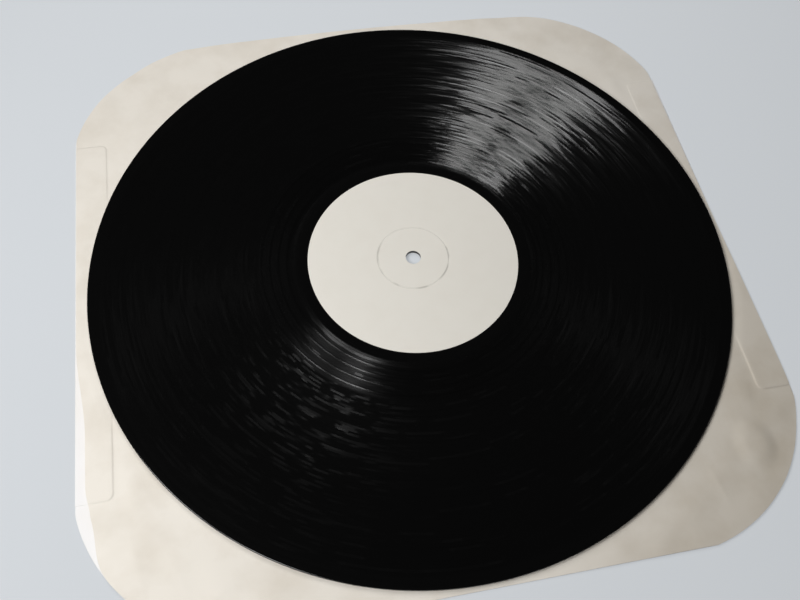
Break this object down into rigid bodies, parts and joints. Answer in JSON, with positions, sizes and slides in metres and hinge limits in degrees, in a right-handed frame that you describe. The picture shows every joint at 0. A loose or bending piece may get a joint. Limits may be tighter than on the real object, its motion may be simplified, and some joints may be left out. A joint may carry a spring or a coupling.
{
  "type": "vinyl record",
  "caption": "Long-playing vinyl record with plain paper labels and a spiral groove on both sides, lying on its round-cornered paper inner sleeve with a label window.",
  "frame": {"origin": "centre of the spindle hole, in the plane of the record's underside", "axes": "+Z along the spindle hole, up out of side A; +Y towards the sleeve's mouth; +X to the right as seen from above with the mouth away"},
  "size_m": [0.3096, 0.306, 0.0023],
  "materials": {
    "vinyl": "pressed black PVC, glossy, finely grooved",
    "label_paper": "plain uncoated label paper, pressed smooth",
    "sleeve_paper": "off-white uncoated paper, slightly creased",
    "dried_glue": "thin dried film"
  },
  "bodies": {
    "sleeve": {"sleeve_front_panel": "sleeve_paper", "sleeve_back_panel": "sleeve_paper", "sleeve_bottom_fold": "sleeve_paper", "left_side_flap": "sleeve_paper", "right_side_flap": "sleeve_paper", "left_glue_line": "dried_glue", "right_glue_line": "dried_glue"},
    "record": {"vinyl_disc": "vinyl", "side_a_label": "label_paper", "side_b_label": "label_paper"}
  },
  "joints": [
    {"name": "record_lift", "type": "slide", "parent": "sleeve", "child": "record", "axis": [0, 0, 1], "range_m": [0, 0.15]}
  ]
}
